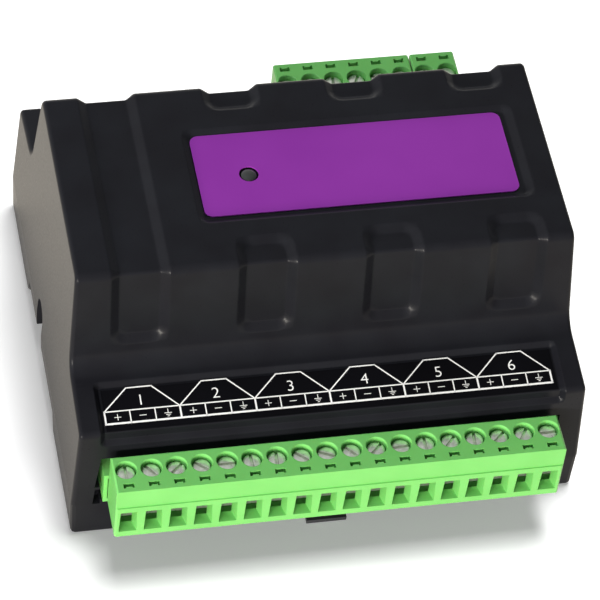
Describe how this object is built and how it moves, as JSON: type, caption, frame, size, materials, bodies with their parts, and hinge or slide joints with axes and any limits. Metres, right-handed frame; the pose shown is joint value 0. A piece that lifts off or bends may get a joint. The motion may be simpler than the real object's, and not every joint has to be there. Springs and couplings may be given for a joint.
{
  "type": "dmx splitter",
  "caption": "Black rail-mounted splitter for a stage lighting data line, with a long green pluggable screw terminal in front and shorter ones behind.",
  "frame": {"origin": "middle of the underside, which is z = 0", "axes": "+X along the rail, -Y towards the long row of outputs, +Y towards the input and the power, +Z away from the rail"},
  "size_m": [0.1058, 0.111, 0.0566],
  "materials": {
    "housing": "moulded ABS, fine matte grain",
    "latch": "moulded nylon, satin",
    "spring_steel": "bright spring wire",
    "label_film": "printed purple polyester film, satin",
    "legend_film": "printed black polyester film, satin",
    "light_pipe": "smoked clear acrylic",
    "board": "glass-fibre laminate under solder resist",
    "terminal_green": "moulded polyamide, satin",
    "plated_steel": "zinc plate",
    "chip": "moulding compound",
    "ferrite": "bare ferrite",
    "can_sleeve": "shrunk sleeve",
    "fuse_lacquer": "dipped lacquer",
    "led": "clear resin"
  },
  "bodies": {
    "housing": {"housing_base": "housing", "housing_cover": "housing", "latch_spring": "spring_steel", "label_overlay": "label_film", "legend_strip": "legend_film", "light_pipe": "light_pipe", "main_board": "board", "output_header": "terminal_green", "input_header": "terminal_green", "status_led": "led", "line_driver_1": "chip", "line_driver_2": "chip", "line_driver_3": "chip", "line_driver_4": "chip", "line_driver_5": "chip", "line_driver_6": "chip", "input_receiver": "chip", "microcontroller": "chip", "crystal": "plated_steel", "dcdc_converter": "chip", "power_inductor": "ferrite", "bulk_capacitor_1": "can_sleeve", "bulk_capacitor_2": "can_sleeve", "resettable_fuse": "fuse_lacquer", "board_screw_1": "plated_steel", "board_screw_2": "plated_steel", "board_screw_3": "plated_steel", "board_screw_4": "plated_steel"},
    "rail_latch": {"rail_latch": "latch"},
    "input_plug": {"input_plug": "terminal_green"},
    "output_plug": {"output_plug": "terminal_green"},
    "power_plug": {"power_plug": "terminal_green"},
    "output_screw_01": {"output_screw_01": "plated_steel"},
    "output_screw_02": {"output_screw_02": "plated_steel"},
    "output_screw_03": {"output_screw_03": "plated_steel"},
    "output_screw_04": {"output_screw_04": "plated_steel"},
    "output_screw_05": {"output_screw_05": "plated_steel"},
    "output_screw_06": {"output_screw_06": "plated_steel"},
    "output_screw_07": {"output_screw_07": "plated_steel"},
    "output_screw_08": {"output_screw_08": "plated_steel"},
    "output_screw_09": {"output_screw_09": "plated_steel"},
    "output_screw_10": {"output_screw_10": "plated_steel"},
    "output_screw_11": {"output_screw_11": "plated_steel"},
    "output_screw_12": {"output_screw_12": "plated_steel"},
    "output_screw_13": {"output_screw_13": "plated_steel"},
    "output_screw_14": {"output_screw_14": "plated_steel"},
    "output_screw_15": {"output_screw_15": "plated_steel"},
    "output_screw_16": {"output_screw_16": "plated_steel"},
    "output_screw_17": {"output_screw_17": "plated_steel"},
    "output_screw_18": {"output_screw_18": "plated_steel"},
    "input_screw_1": {"input_screw_1": "plated_steel"},
    "input_screw_2": {"input_screw_2": "plated_steel"},
    "input_screw_3": {"input_screw_3": "plated_steel"},
    "input_screw_4": {"input_screw_4": "plated_steel"},
    "input_screw_5": {"input_screw_5": "plated_steel"},
    "input_screw_6": {"input_screw_6": "plated_steel"},
    "power_screw_1": {"power_screw_1": "plated_steel"},
    "power_screw_2": {"power_screw_2": "plated_steel"}
  },
  "joints": [
    {"name": "latch_slide", "type": "slide", "parent": "housing", "child": "rail_latch", "axis": [0, -1, 0], "range_m": [0, 0.004], "stiffness_N_per_m": 600, "springref_m": -0.003, "deforming": ["latch_spring"]},
    {"name": "plug_input_slide", "type": "slide", "parent": "housing", "child": "input_plug", "axis": [0, 1, 0], "range_m": [0, 0.012]},
    {"name": "plug_output_slide", "type": "slide", "parent": "housing", "child": "output_plug", "axis": [0, -1, 0], "range_m": [0, 0.012]},
    {"name": "plug_power_slide", "type": "slide", "parent": "housing", "child": "power_plug", "axis": [0, 1, 0], "range_m": [0, 0.012]},
    {"name": "screw_output_01", "type": "hinge", "parent": "output_plug", "child": "output_screw_01", "pos_m": [-0.04318, -0.0498, 0.0263], "axis": [0, 0, -1], "range_deg": [0, 1890]},
    {"name": "screw_output_02", "type": "hinge", "parent": "output_plug", "child": "output_screw_02", "pos_m": [-0.0381, -0.0498, 0.0263], "axis": [0, 0, -1], "range_deg": [0, 1890]},
    {"name": "screw_output_03", "type": "hinge", "parent": "output_plug", "child": "output_screw_03", "pos_m": [-0.03302, -0.0498, 0.0263], "axis": [0, 0, -1], "range_deg": [0, 1890]},
    {"name": "screw_output_04", "type": "hinge", "parent": "output_plug", "child": "output_screw_04", "pos_m": [-0.02794, -0.0498, 0.0263], "axis": [0, 0, -1], "range_deg": [0, 1890]},
    {"name": "screw_output_05", "type": "hinge", "parent": "output_plug", "child": "output_screw_05", "pos_m": [-0.02286, -0.0498, 0.0263], "axis": [0, 0, -1], "range_deg": [0, 1890]},
    {"name": "screw_output_06", "type": "hinge", "parent": "output_plug", "child": "output_screw_06", "pos_m": [-0.01778, -0.0498, 0.0263], "axis": [0, 0, -1], "range_deg": [0, 1890]},
    {"name": "screw_output_07", "type": "hinge", "parent": "output_plug", "child": "output_screw_07", "pos_m": [-0.0127, -0.0498, 0.0263], "axis": [0, 0, -1], "range_deg": [0, 1890]},
    {"name": "screw_output_08", "type": "hinge", "parent": "output_plug", "child": "output_screw_08", "pos_m": [-0.00762, -0.0498, 0.0263], "axis": [0, 0, -1], "range_deg": [0, 1890]},
    {"name": "screw_output_09", "type": "hinge", "parent": "output_plug", "child": "output_screw_09", "pos_m": [-0.00254, -0.0498, 0.0263], "axis": [0, 0, -1], "range_deg": [0, 1890]},
    {"name": "screw_output_10", "type": "hinge", "parent": "output_plug", "child": "output_screw_10", "pos_m": [0.00254, -0.0498, 0.0263], "axis": [0, 0, -1], "range_deg": [0, 1890]},
    {"name": "screw_output_11", "type": "hinge", "parent": "output_plug", "child": "output_screw_11", "pos_m": [0.00762, -0.0498, 0.0263], "axis": [0, 0, -1], "range_deg": [0, 1890]},
    {"name": "screw_output_12", "type": "hinge", "parent": "output_plug", "child": "output_screw_12", "pos_m": [0.0127, -0.0498, 0.0263], "axis": [0, 0, -1], "range_deg": [0, 1890]},
    {"name": "screw_output_13", "type": "hinge", "parent": "output_plug", "child": "output_screw_13", "pos_m": [0.01778, -0.0498, 0.0263], "axis": [0, 0, -1], "range_deg": [0, 1890]},
    {"name": "screw_output_14", "type": "hinge", "parent": "output_plug", "child": "output_screw_14", "pos_m": [0.02286, -0.0498, 0.0263], "axis": [0, 0, -1], "range_deg": [0, 1890]},
    {"name": "screw_output_15", "type": "hinge", "parent": "output_plug", "child": "output_screw_15", "pos_m": [0.02794, -0.0498, 0.0263], "axis": [0, 0, -1], "range_deg": [0, 1890]},
    {"name": "screw_output_16", "type": "hinge", "parent": "output_plug", "child": "output_screw_16", "pos_m": [0.03302, -0.0498, 0.0263], "axis": [0, 0, -1], "range_deg": [0, 1890]},
    {"name": "screw_output_17", "type": "hinge", "parent": "output_plug", "child": "output_screw_17", "pos_m": [0.0381, -0.0498, 0.0263], "axis": [0, 0, -1], "range_deg": [0, 1890]},
    {"name": "screw_output_18", "type": "hinge", "parent": "output_plug", "child": "output_screw_18", "pos_m": [0.04318, -0.0498, 0.0263], "axis": [0, 0, -1], "range_deg": [0, 1890]},
    {"name": "screw_input_1", "type": "hinge", "parent": "input_plug", "child": "input_screw_1", "pos_m": [0.00762, 0.0498, 0.0263], "axis": [0, 0, -1], "range_deg": [0, 1890]},
    {"name": "screw_input_2", "type": "hinge", "parent": "input_plug", "child": "input_screw_2", "pos_m": [0.0127, 0.0498, 0.0263], "axis": [0, 0, -1], "range_deg": [0, 1890]},
    {"name": "screw_input_3", "type": "hinge", "parent": "input_plug", "child": "input_screw_3", "pos_m": [0.01778, 0.0498, 0.0263], "axis": [0, 0, -1], "range_deg": [0, 1890]},
    {"name": "screw_input_4", "type": "hinge", "parent": "input_plug", "child": "input_screw_4", "pos_m": [0.02286, 0.0498, 0.0263], "axis": [0, 0, -1], "range_deg": [0, 1890]},
    {"name": "screw_input_5", "type": "hinge", "parent": "input_plug", "child": "input_screw_5", "pos_m": [0.02794, 0.0498, 0.0263], "axis": [0, 0, -1], "range_deg": [0, 1890]},
    {"name": "screw_input_6", "type": "hinge", "parent": "input_plug", "child": "input_screw_6", "pos_m": [0.03302, 0.0498, 0.0263], "axis": [0, 0, -1], "range_deg": [0, 1890]},
    {"name": "screw_power_1", "type": "hinge", "parent": "power_plug", "child": "power_screw_1", "pos_m": [0.0381, 0.0498, 0.0263], "axis": [0, 0, -1], "range_deg": [0, 1890]},
    {"name": "screw_power_2", "type": "hinge", "parent": "power_plug", "child": "power_screw_2", "pos_m": [0.04318, 0.0498, 0.0263], "axis": [0, 0, -1], "range_deg": [0, 1890]}
  ]
}
